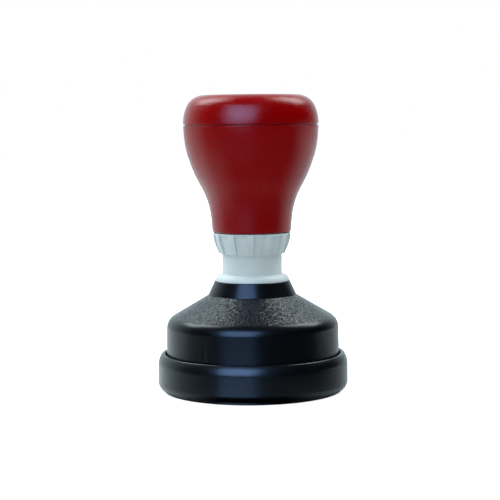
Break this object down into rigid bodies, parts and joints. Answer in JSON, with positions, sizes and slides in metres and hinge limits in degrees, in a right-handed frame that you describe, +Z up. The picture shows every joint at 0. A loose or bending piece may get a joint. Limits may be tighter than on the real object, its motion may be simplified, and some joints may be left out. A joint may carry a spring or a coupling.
{
  "type": "pre-inked stamp",
  "caption": "Round pre-inked hand stamp: sprung palm knob with a lift-off lid, ribbed depth ring on a guide tube, bell housing round a porous die, standing in its dust cap.",
  "frame": {"origin": "middle of the dust cap's foot, on the desk", "axes": "+Z up along the stamp's axis; the side with the orientation mark faces -Y, to the viewer's left"},
  "size_m": [0.056, 0.056, 0.0869],
  "materials": {
    "red_plastic": "deep red ABS, satin with a faint moulded texture",
    "black_plastic": "black ABS, satin on the walls and spark-eroded grain on the shoulder",
    "grey_plastic": "light cool grey acetal, satin",
    "inner_plastic": "natural grey acetal, as moulded",
    "holder_plastic": "dark grey ABS, as moulded",
    "spring_steel": "drawn spring wire, oiled",
    "steel": "zinc plated, stamped",
    "brass": "turned",
    "seal_rubber": "moulded nitrile, matte",
    "felt": "pressed wool felt",
    "ink_felt": "felt soaked with dark ink",
    "die_foam": "microporous foam, inked, matte"
  },
  "bodies": {
    "dust_cap": {"dust_cap": "black_plastic"},
    "housing": {"housing": "black_plastic", "guide_sleeve": "grey_plastic", "sleeve_nut": "inner_plastic", "return_spring": "spring_steel"},
    "plunger": {"handle_shell": "red_plastic", "handle_core": "inner_plastic", "core_screws": "steel", "stem": "inner_plastic", "stem_washer": "steel", "stem_nut": "brass", "spring_washer": "steel", "stem_clip": "steel", "rebound_washer": "felt", "foot_seal": "seal_rubber", "die_holder": "holder_plastic", "ink_reservoir": "ink_felt", "die": "die_foam", "die_frame": "holder_plastic"},
    "detent": {"detent_washer": "steel"},
    "ring": {"adjusting_ring": "grey_plastic"},
    "lid": {"handle_cap": "red_plastic", "cap_seal": "seal_rubber", "filler_plug": "seal_rubber"}
  },
  "joints": [
    {"name": "housing_lift", "type": "slide", "parent": "dust_cap", "child": "housing", "axis": [0, 0, 1], "range_m": [0, 0.014]},
    {"name": "press", "type": "slide", "parent": "housing", "child": "plunger", "axis": [0, 0, -1], "range_m": [0, 0.0052], "stiffness_N_per_m": 440, "springref_m": -0.008, "deforming": ["return_spring"]},
    {"name": "ring_screw", "type": "slide", "parent": "plunger", "child": "detent", "axis": [0, 0, -1], "range_m": [0, 0.0008]},
    {"name": "ring_turn", "type": "hinge", "parent": "detent", "child": "ring", "pos_m": [0, 0, 0.0436], "axis": [0, 0, -1], "range_deg": [0, 360]},
    {"name": "cap_lift", "type": "slide", "parent": "plunger", "child": "lid", "axis": [0, 0, 1], "range_m": [0, 0.016]}
  ],
  "couplings": [
    {"joint": "ring_turn", "follows": "ring_screw", "rad_per_m": 7854}
  ]
}
